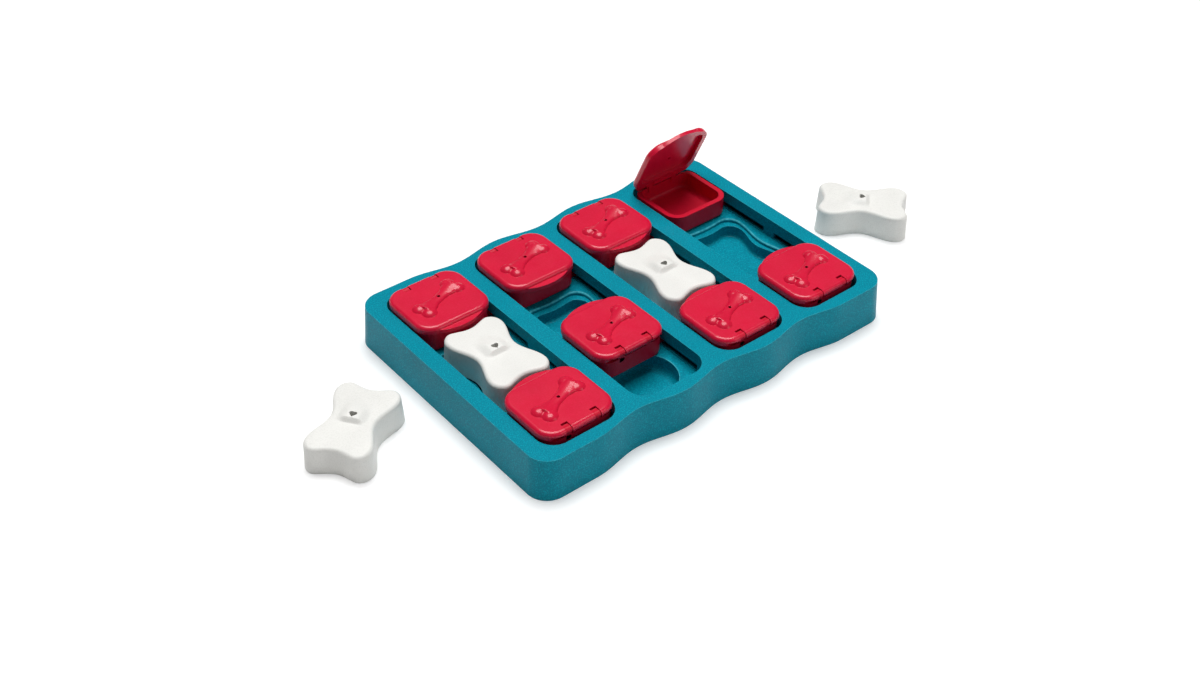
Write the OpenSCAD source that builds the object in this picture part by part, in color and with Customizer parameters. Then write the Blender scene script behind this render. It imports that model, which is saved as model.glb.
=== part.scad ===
// Dog puzzle feeder. Treats are hidden in wells of a tray with four channels. Eight boxes slide over
// the round wells, each with a hinged lid, and four hollow bone blocks lift off the wells between them.
// +X runs across the channels, +Y along them and +Z up. The origin is the middle of the resting plane.

/* [Tray] */
// Width of the divider between two channels
divider_w = 14.8; // [12:0.2:30]
// Height of the rim above the resting plane
tray_h = 32.2; // [30:0.2:40]
// Clear width of a channel between its side walls
channel_w = 61.2; // [59:0.2:64]
// Clear length of a channel between its end walls
channel_l = 197; // [190:1:240]
// Radius of a channel's corners, seen from above
channel_r = 14; // [10:0.5:18]
// Height of the channel floor
floor_z = 17; // [15:0.2:19]
// Thickness of the channel floor, which is the depth of the groove for a bone block
floor_t = 2.8; // [2:0.1:4]
// Distance from the outermost channel wall to the outside at the foot
side_band = 14.9; // [11:0.1:20]
// Distance from a channel's end wall to the outside of a bulge at the foot
end_band = 11.7; // [9:0.1:16]
// Height of the waves along the front and back walls, from dip to bulge
wave_depth = 5.7; // [0:0.1:6]
// How far the outside leans in from foot to rim
draft = 2; // [0:0.1:3]
// Radius of the outer corners at the foot, seen from above
outer_r = 16; // [12:0.5:24]
// Thickness of the outer skin and of the rim
skin = 2.8; // [2:0.1:3.5]
// Thickness of channel walls, cups and ribs
wall = 2.4; // [1.8:0.1:2.8]
// Rounding along the top edge of a channel
rim_r = 2.5; // [1:0.1:3]

/* [Wells] */
// Height of the floor in every well
well_z = 5; // [4:0.1:8]
// Radius of a round end well
end_well_r = 23.2; // [18:0.1:25]
// Distance from a round end well to the end wall of its channel
end_well_band = 7.8; // [5:0.1:10]
// Rounding at the bottom of an end well
end_well_fillet = 5; // [2:0.5:8]
// Width of the ledge beside the bone well
ledge_x = 3; // [2:0.1:8]
// Width of the ledge in front of the bone well and behind it
ledge_y = 4.8; // [2:0.1:8]

/* [Slots] */
// Height of the slot's lower edge above the channel floor
slot_lift = 0.8; // [0.4:0.1:1.2]
// Height of a slot
slot_h = 5.1; // [4:0.1:6]
// Half of the closed gap in the middle of a slot
slot_stop = 5.5; // [4:0.1:8]
// Distance from a channel's end wall to the outer end of a slot
slot_inset = 12.5; // [8:0.1:15]

/* [Boxes] */
// Gap between the end wall of a channel and a lid, at the outer stop of its box
end_gap = 2.7; // [1:0.05:4]
// Gap between a lid and the channel wall
lid_gap = 0.7; // [0.4:0.1:1.5]
// Length of a lid along the channel, without its thumb lip
lid_l = 54.9; // [52:0.1:56]
// Radius of a lid's corners, seen from above
lid_r = 13.5; // [10:0.5:16]
// Height of a closed lid's top above the rim of the tray
lid_rise = 6.5; // [5:0.1:9]
// Thickness of a lid at its edge
lid_t = 5.55; // [5:0.05:7]
// Thickness of a lid's top sheet
lid_sheet = 2.4; // [1.8:0.1:3]
// Rounding of a lid's top edge
lid_edge_r = 3.2; // [2:0.1:3.4]
// Inset of a box body inside the outline of its lid, on every side
body_inset = 1.2; // [0.8:0.1:2]
// Width of a box body's open rim
body_rim = 4; // [3:0.1:5]
// Thickness of a box body's floor
body_floor = 2; // [1.6:0.1:3]
// Rounding along the bottom edge of a box body
body_edge_r = 1.5; // [0.5:0.1:2]
// Rounding at the bottom of a box's cavity
cavity_fillet = 3; // [1:0.5:5]
// Length of a slide foot along the channel
foot_l = 9; // [5:0.5:12]
// Reach of a slide foot behind the channel wall
foot_hook = 0.9; // [0.4:0.1:1.6]
// Reach of the thumb lip beyond the straight edge of the lid
lip_reach = 4.85; // [3:0.05:5]
// Width of the thumb lip along the edge of the lid
lip_w = 41; // [30:1:44]
// Thickness of the thumb lip
lip_t = 2.9; // [2:0.1:3.2]
// Width of the rim under a lid
lid_rim = 4.2; // [3:0.1:5]
// Radius of the vent hole in a lid
vent_r = 1.2; // [0.8:0.1:1.6]

/* [Lid figure] */
// Turn of the raised bone figure, in degrees
figure_turn = 21; // [-45:1:45]
// Distance between the lobes at its two ends
figure_l = 34; // [26:0.5:36]
// Distance between the two lobes of one end
figure_w = 8.8; // [6:0.2:10]
// Height of its lobes
figure_rise = 1.9; // [0.8:0.1:2.4]
// Height of its shaft
figure_shaft_rise = 1.1; // [0.4:0.1:1.6]

/* [Hinges] */
// Radius of the hinge barrel of a lid
barrel_r = 3.1; // [2.8:0.1:3.1]
// Radius of the hinge pin
pin_r = 1.3; // [1:0.05:1.5]
// Distance from the side of a lid to the middle of a hinge arm
arm_inset = 18.1; // [16:0.1:20]
// Width of a hinge arm
arm_w = 4.6; // [3.5:0.1:5]
// Radius of a hinge arm's rounded top
arm_r = 2.7; // [2.4:0.1:2.8]

/* [Bone blocks] */
// Gap between the lobes of a seated block and the side walls of its channel
bone_side_gap = 6.4; // [5:0.1:9]
// How far the lobes of a seated block reach past the tips of the thumb lips
lobe_reach = 0.35; // [-2:0.05:1]
// Height of a block without its finger ridge
bone_h = 21.2; // [19:0.1:30]
// Wall of a block
bone_wall = 2.2; // [1.6:0.1:2.4]
// How far the sides lean in from foot to shoulder
bone_draft = 1.1; // [0.4:0.1:1.6]
// Height of the bevelled shoulder
bone_shoulder = 2.6; // [1.5:0.1:3]
// Width of the finger ridge across the block
ridge_w = 19; // [14:0.5:22]
// Height of the finger ridge
ridge_h = 3.6; // [2:0.1:5]
// Distance of the foot of the ridge's steep face in front of the middle
ridge_front = 5; // [3:0.1:8]
// How far the steep face leans back
ridge_lean = 2.6; // [0:0.1:3]
// Length of the ridge's flat top
ridge_top_l = 6; // [2:0.1:9]
// Distance of the foot of the ridge's slope behind the middle
ridge_back = 15; // [6:0.5:18]
// Width of the heart-shaped hole
heart_w = 5.4; // [4:0.1:7]
// Distance of the heart-shaped hole behind the middle
heart_y = 0.4; // [0:0.1:6]

/* [Clearances] */
// Running gap of a slide foot above the slot's lower edge
foot_gap = 0.3; // [0.2:0.05:0.5]
// Gap of a slide foot under the slot's upper edge
foot_top_gap = 0.5; // [0.3:0.05:0.8]
// Gap of a slide foot at each end of its slot
stop_gap = 0.35; // [0.2:0.05:0.6]
// Radial running fit of a hinge pin
pin_fit = 0.06; // [0.03:0.01:0.1]
// Gap at each side of a hinge arm
arm_gap = 0.35; // [0.25:0.05:0.6]
// Gap between the lid and the rim of its body
seat_gap = 0.15; // [0.1:0.05:0.3]
// Gap around the foot of a seated bone block
bone_gap = 1.8; // [0.4:0.1:2]
// Gap between the hinge edge of a lid and the body under it
relief_gap = 0.4; // [0.3:0.05:0.8]

/* [As set out] */
// Travel of the front box of channel 2 from its outer stop
box_2_front_shift = 37.9; // [0:0.1:40]
// Angle of the open lid in channel 4
lid_4_back_open = 66; // [0:1:110]
// Middle of the loose block at the left
bone_2_at = [-219, 16];
// Turn of the loose block at the left, in degrees
bone_2_turn = -54.5; // [-180:0.5:180]
// Middle of the loose block at the right
bone_4_at = [234.5, -15];
// Turn of the loose block at the right, in degrees
bone_4_turn = 42; // [-180:0.5:180]

/* [Hidden] */
$fn = 64;
channels = 4;
tray_colour = "darkturquoise";
body_colour = "darkred";
lid_colour = "crimson";
bone_colour = "whitesmoke";

pitch = channel_w + divider_w;
half_w = channel_w / 2;
half_l = channel_l / 2;
last_x = pitch * (channels - 1) / 2;
foot_x = last_x + half_w + side_band;
foot_y = half_l + end_band;
wave_mid = foot_y - wave_depth / 2;
wave_step = pitch / 20;
arc_step = 15;

// How far cutters reach past what they cut
over = 1;

// How far the waist and the middle of the ends of each bone shape are drawn in
bone_pinch = [7.4, 4.3];
groove_pinch = [4.4, 1.4];
well_pinch = [5.4, 1.6];

// Radius of the lobes of each bone shape
bone_r = 10.5;
bone_well_r = 10;
long_side_steps = 10;
short_side_steps = 6;
shoulder_step = 22.5;

lid_x = half_w - lid_gap;
lid_y = lid_l / 2;
box_y = half_l - end_gap - lid_y;
bone_x = half_w - bone_side_gap;
bone_y = box_y - lid_y - lip_reach + lobe_reach;
groove_x = bone_x + bone_gap;
groove_y = bone_y + bone_gap;
groove_z = floor_z - floor_t;
bone_well_x = groove_x - ledge_x;
bone_well_y = groove_y - ledge_y;
end_well_y = half_l - end_well_band - end_well_r;
trough_x = half_w + wall;
trough_y = half_l + wall;
trough_top = tray_h - skin;
slot_z = floor_z + slot_lift;
slot_end = half_l - slot_inset;
foot_z = slot_z + foot_gap;
foot_h = slot_h - foot_gap - foot_top_gap;
foot_reach = half_w + wall + foot_hook;
foot_out = slot_end - stop_gap - box_y;

lid_top = tray_h + lid_rise;
lid_bottom = lid_top - lid_t;
body_x = lid_x - body_inset;
body_y = lid_y - body_inset;
body_r = lid_r - body_inset;
body_top = lid_bottom - seat_gap;
body_bottom = foot_z;
foot_root = body_x - body_rim / 2;
cavity_r = body_r - body_rim;
cavity_z = body_bottom + body_floor;
hinge_y = lid_y - lid_edge_r;
hinge_z = lid_top - lid_edge_r;
relief_r = lid_edge_r + relief_gap;
arm_x = lid_x - arm_inset;
arm_root_z = body_top - 4;
window_reach = 4;
window_y = hinge_y - window_reach;
pin_grip = 2;
pin_half = arm_x + arm_w / 2 + arm_gap + pin_grip;

// Circle through the two ends and the tip of the thumb lip, and the line where the lip meets the lid
lip_root = 1.5;
lip_sag = lip_reach + lip_root;
lip_arc_r = (lip_w * lip_w / 4 + lip_sag * lip_sag) / (2 * lip_sag);
lip_line = 3.5;
figure_ball_r = 9;
figure_shaft_r = 12;

bone_z = groove_z + foot_gap;
bone_roof = bone_h - bone_wall;
shoulder_z = bone_h - bone_shoulder;
side_top = min(shoulder_z, bone_roof);

function channel_x(c) = (c - (channels + 1) / 2) * pitch;
function side_name(s) = s < 0 ? "front" : "back";
function lid_angle(c, s) = c == 4 && s > 0 ? lid_4_back_open : 0;
function box_name(kind, c, s) = str("box_", kind, "_", c, "_", side_name(s));
function cup_name(c, s) = str("round_cup_", c, "_", side_name(s));

// ---- outlines ----

function arc(x, y, r, from) =
    [for (a = [from:arc_step:from + 90]) [x + r * cos(a), y + r * sin(a)]];

// Distance of the front or back wall from the middle: a bulge at each channel, a dip between channels
function wave_y(x) = wave_mid + wave_depth / 2 * (abs(x) > last_x ? 1 : cos(360 * (x - last_x) / pitch));

function wave_xs(reach) =
    let (n = floor((reach - wave_step / 2) / wave_step))
        [for (i = [-n:n]) i * wave_step];

// Outline of the tray, moved in by inset
function tray_outline(inset) =
    let (
        r = outer_r - inset,
        x = foot_x - outer_r,
        y = foot_y - outer_r,
        xs = wave_xs(x)
    )
    concat(
        arc(x, -y, r, 270),
        arc(x, y, r, 0),
        [for (i = [len(xs) - 1:-1:0]) [xs[i], wave_y(xs[i]) - inset]],
        arc(-x, y, r, 90),
        arc(-x, -y, r, 180),
        [for (t = xs) [t, inset - wave_y(t)]]
    );

// Share of the pinch that is left at the distance t from the middle of a side of half length reach
function bell(t, reach) = abs(t) < reach ? (1 + cos(180 * t / reach)) / 2 : 0;

// Moves a point of a rounded rectangle in, towards the waist and towards the middle of the ends
function pinched(p, half, pinch, r) = [
    p[0] - sign(p[0]) * pinch[0] * pow(p[0] / half[0], 2) * bell(p[1], half[1] - r),
    p[1] - sign(p[1]) * pinch[1] * pow(p[1] / half[1], 2) * bell(p[0], half[0] - r / 2)
];

// Outline of a bone with four lobes, half[0] wide and half[1] long
function bone_outline(half, pinch, r) =
    let (
        x = half[0] - r,
        y = half[1] - r,
        long = [for (k = [1:long_side_steps - 1]) y * (2 * k / long_side_steps - 1)],
        short = [for (k = [1:short_side_steps - 1]) x * (2 * k / short_side_steps - 1)],
        rounded = concat(
            arc(x, -y, r, 270),
            [for (t = long) [half[0], t]],
            arc(x, y, r, 0),
            [for (t = short) [-t, half[1]]],
            arc(-x, y, r, 90),
            [for (t = long) [-half[0], -t]],
            arc(-x, -y, r, 180),
            [for (t = short) [t, -half[1]]]
        )
    )
    [for (p = rounded) pinched(p, half, pinch, r)];

// ---- helpers ----

// Block on a rounded rectangle. Its child is the edge's section, with x from 0 at the middle of a
// corner to r at the side, and it spans z0 to z1 at x = 0.
module soft_block(half_x, half_y, r, z0, z1) {
    cx = half_x - r;
    cy = half_y - r;
    for (k = [0:3])
        translate([(k == 0 || k == 3 ? 1 : -1) * cx, (k < 2 ? 1 : -1) * cy, 0])
            rotate(90 * k)
                rotate_extrude(angle = 90)
                    children();
    for (k = [0:3]) {
        reach = k % 2 == 0 ? cx : cy;
        run = k % 2 == 0 ? cy : cx;
        rotate(90 * k)
            translate([reach, run, 0])
                rotate([90, 0, 0])
                    linear_extrude(2 * run)
                        children();
    }
    translate([-cx, -cy, z0])
        cube([2 * cx, 2 * cy, z1 - z0]);
}

// Section r wide between z0 and z1 with its upper outer corner rounded
module rounded_top(r, z0, z1, edge) {
    translate([0, z0])
        square([r - edge, z1 - z0]);
    translate([0, z0])
        square([r, z1 - z0 - edge]);
    translate([r - edge, z1 - edge])
        intersection() {
            circle(edge);
            square(edge);
        }
}

// Section r wide between z0 and z1 with its lower outer corner rounded
module rounded_bottom(r, z0, z1, edge) {
    translate([0, z0])
        square([r - edge, z1 - z0]);
    translate([0, z0 + edge])
        square([r, z1 - z0 - edge]);
    translate([r - edge, z0 + edge])
        intersection() {
            circle(edge);
            translate([0, -edge])
                square(edge);
        }
}

// Round rod along X, centred on the hinge axis
module hinge_rod(r, half) {
    translate([-half, hinge_y, hinge_z])
        rotate([0, 90, 0])
            cylinder(r = r, h = 2 * half);
}

module tray_block(inset, h) {
    lean = draft * h / tray_h;
    linear_extrude(h, scale = [1 - lean / foot_x, 1 - lean / foot_y], slices = 1)
        polygon(tray_outline(inset));
}

// Faces between rings of n points each, from ring to ring
function side_faces(n, steps) = [
    for (k = [0:steps - 1], i = [0:n - 1])
        let (a = k * n + i, b = k * n + (i + 1) % n)
            each [[a, a + n, b + n], [a, b + n, b]]
];

// Solid through rings of equally many points, each next ring above or around the last
module loft(rings) {
    n = len(rings[0]);
    top = n * (len(rings) - 1);
    sides = side_faces(n, len(rings) - 1);
    bottom_face = [for (i = [0:n - 1]) i];
    top_face = [for (i = [n - 1:-1:0]) top + i];
    polyhedron([for (ring = rings) each ring], concat([bottom_face], sides, [top_face]));
}

// Ring-shaped solid through rings of points, closed from the last ring to the first
module tube(rings) {
    n = len(rings[0]);
    points = [for (ring = rings) each ring];
    sides = side_faces(n, len(rings));
    polyhedron(points, [for (face = sides) [for (v = face) v % len(points)]]);
}

module bone_block(half, pinch, r, z0, z1) {
    translate([0, 0, z0])
        linear_extrude(z1 - z0)
            polygon(bone_outline(half, pinch, r));
}

module round_well(r, z0, z1, fillet) {
    rotate_extrude()
        rounded_bottom(r, z0, z1, fillet);
}

module at_each_channel() {
    for (c = [1:channels])
        translate([channel_x(c), 0, 0])
            children();
}

module at_each_end_well() {
    for (s = [-1, 1])
        translate([0, s * end_well_y, 0])
            children();
}

// ---- tray, one moulding of an outer shell, four troughs and their cups ----

// Upright ribs under each divider, with short cross ribs between the troughs
module ribs() {
    h = tray_h - skin / 2;
    gap = pitch - 2 * trough_x;
    for (k = [1:channels - 1])
        translate([channel_x(k) + pitch / 2, 0, 0]) {
            translate([-wall / 2, wave_depth - foot_y, 0])
                cube([wall, 2 * foot_y - 2 * wave_depth, h]);
            translate([-gap / 2, -wall / 2, 0])
                cube([gap, wall, h]);
        }
}

// Room for a trough, and its mouth in the top of the shell
module trough_room() {
    flare = channel_r + rim_r;
    translate([-trough_x, -trough_y, groove_z])
        cube([2 * trough_x, 2 * trough_y, trough_top - groove_z]);
    soft_block(half_w, half_l, channel_r, trough_top - over, tray_h + over)
        translate([0, trough_top - over])
            square([channel_r, skin + 2 * over]);
    soft_block(half_w + rim_r, half_l + rim_r, flare, tray_h - rim_r, tray_h + over)
        difference() {
            translate([0, tray_h - rim_r])
                square([flare, rim_r + over]);
            translate([flare, tray_h - rim_r])
                circle(rim_r);
        }
}

// Outer shell with its top, its skirt and the ribs
module tray() {
    color(tray_colour)
        difference() {
            tray_block(0, tray_h);
            difference() {
                translate([0, 0, -over])
                    tray_block(skin, tray_h - skin + over);
                ribs();
            }
            at_each_channel()
                trough_room();
        }
}

module slots() {
    for (s = [-1, 1], side = [0, 1])
        mirror([side, 0, 0])
            translate([half_w - over, s > 0 ? slot_stop : -slot_end, slot_z])
                cube([wall + 2 * over, slot_end - slot_stop, slot_h]);
}

// Side and end walls of a channel and its floor, with the mouths of its wells
module trough() {
    color(tray_colour)
        difference() {
            translate([-trough_x, -trough_y, groove_z])
                cube([2 * trough_x, 2 * trough_y, trough_top - groove_z]);
            soft_block(half_w, half_l, channel_r, floor_z, trough_top + over)
                translate([0, floor_z])
                    square([channel_r, trough_top + over - floor_z]);
            at_each_end_well()
                translate([0, 0, groove_z - over])
                    cylinder(r = end_well_r, h = floor_t + 2 * over);
            bone_block([groove_x, groove_y], groove_pinch, bone_r, groove_z - over, floor_z + over);
            slots();
        }
}

module round_cup() {
    color(tray_colour)
        difference() {
            round_well(end_well_r + wall, well_z - wall, groove_z, end_well_fillet + wall);
            round_well(end_well_r, well_z, groove_z + over, end_well_fillet);
        }
}

// Cup of a bone well, with the ledge that a bone block stands on
module bone_cup() {
    color(tray_colour)
        difference() {
            bone_block(
                [groove_x + wall, groove_y + wall],
                groove_pinch,
                bone_r + wall,
                well_z - wall,
                groove_z
            );
            bone_block([bone_well_x, bone_well_y], well_pinch, bone_well_r, well_z, groove_z + over);
        }
}

// ---- boxes, each in its own frame with +Y towards its hinge ----

module slide_feet() {
    for (s = [-1, 1], side = [0, 1])
        mirror([side, 0, 0])
            translate([foot_root, s > 0 ? foot_out - foot_l : -foot_out, foot_z])
                cube([foot_reach - foot_root, foot_l, foot_h]);
}

module hinge_arms() {
    for (s = [-1, 1])
        translate([s * arm_x - arm_w / 2, hinge_y, 0]) {
            translate([0, 0, hinge_z])
                rotate([0, 90, 0])
                    cylinder(r = arm_r, h = arm_w);
            translate([0, -arm_r, arm_root_z])
                cube([arm_w, arm_r + body_y - hinge_y, hinge_z - arm_root_z]);
        }
}

module box_body() {
    color(body_colour)
        difference() {
            union() {
                difference() {
                    soft_block(body_x, body_y, body_r, body_bottom, body_top)
                        rounded_bottom(body_r, body_bottom, body_top, body_edge_r);
                    hinge_rod(relief_r, lid_x);
                    soft_block(body_x - body_rim, body_y - body_rim, cavity_r, cavity_z, body_top + over)
                        rounded_bottom(cavity_r, cavity_z, body_top + over, cavity_fillet);
                }
                hinge_arms();
                slide_feet();
            }
            hinge_rod(pin_r + pin_fit, pin_half);
        }
}

// Area of the thumb lip, seen from above
module lip_plan() {
    tip_y = lid_y + lip_reach;
    intersection() {
        translate([0, lip_arc_r - tip_y])
            circle(lip_arc_r);
        translate([-lip_w / 2, -tip_y - over])
            square([lip_w, lip_reach + lip_line + over]);
    }
}

// Raised bone figure on a lid
module lid_figure() {
    ball_z = lid_top + figure_rise - figure_ball_r;
    shaft_z = lid_top + figure_shaft_rise - figure_shaft_r;
    intersection() {
        rotate(figure_turn) {
            for (x = [-1, 1], y = [-1, 1])
                translate([x * figure_l / 2, y * figure_w / 2, ball_z])
                    sphere(figure_ball_r);
            translate([-figure_l / 2, 0, shaft_z])
                rotate([0, 90, 0])
                    cylinder(r = figure_shaft_r, h = figure_l);
        }
        translate([-lid_x, -lid_y, lid_top - over])
            cube([2 * lid_x, 2 * lid_y, over + 2 * figure_rise]);
    }
}

// Openings in a lid for the hinge arms of its body
module hinge_windows() {
    w = arm_w + 2 * arm_gap;
    for (s = [-1, 1])
        translate([s * arm_x - w / 2, window_y, lid_bottom - lid_t])
            cube([w, lid_y, 3 * lid_t]);
}

// Recess under the lid, inside the rim that covers the body's rim
module lid_recess() {
    back = window_y - lid_rim / 2;
    front = lid_y - lid_rim;
    translate([0, (back - front) / 2, 0])
        soft_block(lid_x - lid_rim, (back + front) / 2, cavity_r, lid_bottom - over, lid_top - lid_sheet)
            translate([0, lid_bottom - over])
                square([cavity_r, lid_t + over - lid_sheet]);
}

// Slab of the lid with its rounded top, cut back under the hinge edge and over the thumb lip
module lid_slab() {
    difference() {
        soft_block(lid_x, lid_y, lid_r, lid_bottom, lid_top)
            rounded_top(lid_r, lid_bottom, lid_top, lid_edge_r);
        translate([-lid_x - over, hinge_y, lid_bottom - over])
            cube([2 * lid_x + 2 * over, lid_y, hinge_z - lid_bottom + over]);
        translate([lid_r - lid_x, hinge_y, lid_bottom - over])
            cube([2 * (lid_x - lid_r), lid_y, lid_t + 2 * over]);
        translate([0, 0, lid_bottom + lip_t])
            linear_extrude(lid_t)
                lip_plan();
    }
}

module box_lid() {
    color(lid_colour)
        difference() {
            union() {
                difference() {
                    union() {
                        lid_slab();
                        translate([0, 0, lid_bottom])
                            linear_extrude(lip_t)
                                lip_plan();
                        hinge_rod(barrel_r, lid_x - lid_r);
                    }
                    hinge_windows();
                    lid_recess();
                }
                hinge_rod(pin_r, pin_half);
                lid_figure();
            }
            cylinder(r = vent_r, h = lid_top + lid_t);
        }
}

// Lid turned about its hinge by the given angle
module opened_lid(angle) {
    translate([0, hinge_y, hinge_z])
        rotate([-angle, 0, 0])
            translate([0, -hinge_y, -hinge_z])
                box_lid();
}

// ---- bone blocks, each in its own frame with its foot at z = 0 ----

// Outline of a block, moved in by inset, at the height z
function bone_ring(z, inset) =
    [for (p = bone_outline([bone_x - inset, bone_y - inset], bone_pinch, bone_r - inset)) [p[0], p[1], z]];

module finger_ridge() {
    translate([-ridge_w / 2, 0, bone_h - bone_wall / 2])
        rotate([90, 0, 90])
            linear_extrude(ridge_w)
                polygon([
                    [-ridge_front, 0],
                    [-ridge_front, bone_wall / 2],
                    [ridge_lean - ridge_front, bone_wall / 2 + ridge_h],
                    [ridge_lean - ridge_front + ridge_top_l, bone_wall / 2 + ridge_h],
                    [ridge_back, bone_wall / 2],
                    [ridge_back, 0],
                ]);
}

// Heart-shaped hole with its tip towards the ridge's upright face
module heart_hole() {
    h = heart_w / (2 + sqrt(2));
    translate([0, heart_y, bone_roof - over])
        linear_extrude(bone_wall + ridge_h + 2 * over)
            rotate(45) {
                polygon([[-h, -h], [h, -h], [h, h / 2], [h / 2, h], [-h, h]]);
                translate([h, 0])
                    circle(h);
                translate([0, h])
                    circle(h);
            }
}

// Roof of a block with its shoulder, finger ridge and hole
module bone() {
    side_lean = bone_draft * side_top / shoulder_z;
    inside_lean = bone_wall + bone_draft * side_top / bone_roof;
    bend = [for (a = [0:shoulder_step:90]) [
        shoulder_z + bone_shoulder * sin(a),
        bone_draft + bone_shoulder * (1 - cos(a)),
    ]];
    recess = [bone_ring(bone_roof, bone_wall + bone_draft), bone_ring(side_top, inside_lean)];
    under = side_top < bone_roof ? recess : [];
    below = side_top < shoulder_z ? [bone_ring(side_top, side_lean)] : [];
    color(bone_colour)
        difference() {
            union() {
                loft(concat(under, below, [for (p = bend) bone_ring(p[0], p[1])]));
                finger_ridge();
            }
            heart_hole();
        }
}

// Side wall of a block, one moulding with its roof
module bone_side() {
    side_lean = bone_draft * side_top / shoulder_z;
    inside_lean = bone_wall + bone_draft * side_top / bone_roof;
    color(bone_colour)
        tube([
            bone_ring(side_top, inside_lean),
            bone_ring(0, bone_wall),
            bone_ring(0, 0),
            bone_ring(side_top, side_lean),
        ]);
}

// ---- places ----

module at_box(c, s) {
    shift = c == 2 && s < 0 ? box_2_front_shift : 0;
    translate([channel_x(c), s * (box_y - shift), 0])
        rotate(s < 0 ? 180 : 0)
            children();
}

module at_channel(c) {
    translate([channel_x(c), 0, 0])
        children();
}

module at_bone(c) {
    at = c == 2 ? bone_2_at : c == 4 ? bone_4_at : [channel_x(c), 0];
    turn = c == 2 ? bone_2_turn : c == 4 ? bone_4_turn : 0;
    translate([at[0], at[1], c == 2 || c == 4 ? 0 : bone_z])
        rotate(turn)
            children();
}

tray();
for (c = [1:channels]) {
    at_channel(c) trough();
    at_channel(c) bone_cup();
}
for (c = [1:channels], s = [-1, 1]) {
    at_channel(c) translate([0, s * end_well_y, 0]) round_cup();
}
for (c = [1:channels], s = [-1, 1]) {
    at_box(c, s) box_body();
    at_box(c, s) opened_lid(lid_angle(c, s));
}
for (c = [1:channels]) {
    at_bone(c) bone();
    at_bone(c) bone_side();
}
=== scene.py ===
"""Dog puzzle feeder: a tray with four channels, eight sliding treat boxes and four bone blocks."""

import logging
import math
from dataclasses import dataclass
from enum import Enum

import bmesh
import bpy
from mathutils import Matrix, Vector


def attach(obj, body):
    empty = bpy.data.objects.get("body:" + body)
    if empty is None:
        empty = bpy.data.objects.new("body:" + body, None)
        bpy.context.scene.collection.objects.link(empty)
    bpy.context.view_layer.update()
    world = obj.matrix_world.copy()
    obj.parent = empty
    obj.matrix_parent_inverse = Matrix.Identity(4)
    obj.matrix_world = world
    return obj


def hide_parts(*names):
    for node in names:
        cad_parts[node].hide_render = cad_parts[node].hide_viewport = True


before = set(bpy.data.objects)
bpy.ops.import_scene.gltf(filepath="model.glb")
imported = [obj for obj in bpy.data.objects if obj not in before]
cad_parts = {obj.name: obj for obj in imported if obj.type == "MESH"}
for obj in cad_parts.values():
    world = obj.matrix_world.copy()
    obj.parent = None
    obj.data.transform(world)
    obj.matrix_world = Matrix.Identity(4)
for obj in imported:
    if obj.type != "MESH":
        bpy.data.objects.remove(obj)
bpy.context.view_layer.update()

MM = 0.001
NEAR = 0.01

log = logging.getLogger("feeder")


class Cut(Enum):
    """What a second solid does to the first."""

    AWAY = "DIFFERENCE"
    JOIN = "UNION"


class Side(Enum):
    """End of a channel that a box belongs to, by the sign of its Y."""

    FRONT = -1
    BACK = 1


# ---- solids, in millimetres ----


def slab(half_x: float, half_y: float, z0: float, z1: float, corner: float, steps: int = 10) -> bmesh.types.BMesh:
    """Makes an upright block on a rounded rectangle.

    Args:
        half_x: Half of its width.
        half_y: Half of its length.
        z0: Height of its underside.
        z1: Height of its top.
        corner: Radius of its upright edges.
        steps: Facets round each corner.

    Returns:
        The block as a new bmesh.
    """
    bm = brick((-half_x, half_x), (-half_y, half_y), (z0, z1))
    upright = [e for e in bm.edges if abs(e.verts[0].co.z - e.verts[1].co.z) > NEAR]
    rounded(bm, upright, corner, steps)
    return bm


def brick(xs: tuple[float, float], ys: tuple[float, float], zs: tuple[float, float]) -> bmesh.types.BMesh:
    """Makes a plain block.

    Args:
        xs: Its lowest and highest X.
        ys: Its lowest and highest Y.
        zs: Its lowest and highest Z.

    Returns:
        The block as a new bmesh.
    """
    bm = bmesh.new()
    bmesh.ops.create_cube(bm, size=1.0)
    spans = [hi - lo for lo, hi in (xs, ys, zs)]
    middle = [(hi + lo) / 2 for lo, hi in (xs, ys, zs)]
    bmesh.ops.scale(bm, vec=spans, verts=bm.verts)
    bmesh.ops.translate(bm, vec=middle, verts=bm.verts)
    return bm


def rod(radius: float, half: float, y: float, z: float, steps: int = 40) -> bmesh.types.BMesh:
    """Makes a round rod along X.

    Args:
        radius: Its radius.
        half: Half of its length.
        y: Y of its axis.
        z: Z of its axis.
        steps: Facets round it.

    Returns:
        The rod as a new bmesh.
    """
    bm = bmesh.new()
    turn = Matrix.Translation((0, y, z)) @ Matrix.Rotation(math.pi / 2, 4, "Y")
    bmesh.ops.create_cone(
        bm, cap_ends=True, segments=steps, radius1=radius, radius2=radius, depth=2 * half, matrix=turn
    )
    return bm


def post(radius: float, x: float, y: float, z0: float, z1: float, steps: int = 24) -> bmesh.types.BMesh:
    """Makes an upright round rod.

    Args:
        radius: Its radius.
        x: X of its axis.
        y: Y of its axis.
        z0: Height of its foot.
        z1: Height of its top.
        steps: Facets round it.

    Returns:
        The rod as a new bmesh.
    """
    bm = bmesh.new()
    place = Matrix.Translation((x, y, (z0 + z1) / 2))
    bmesh.ops.create_cone(
        bm, cap_ends=True, segments=steps, radius1=radius, radius2=radius, depth=z1 - z0, matrix=place
    )
    return bm


def bell(t: float, reach: float) -> float:
    """Returns 1 in the middle, falling smoothly to 0 at the distance reach."""
    return (1 + math.cos(math.pi * t / reach)) / 2 if abs(t) < reach else 0.0


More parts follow.
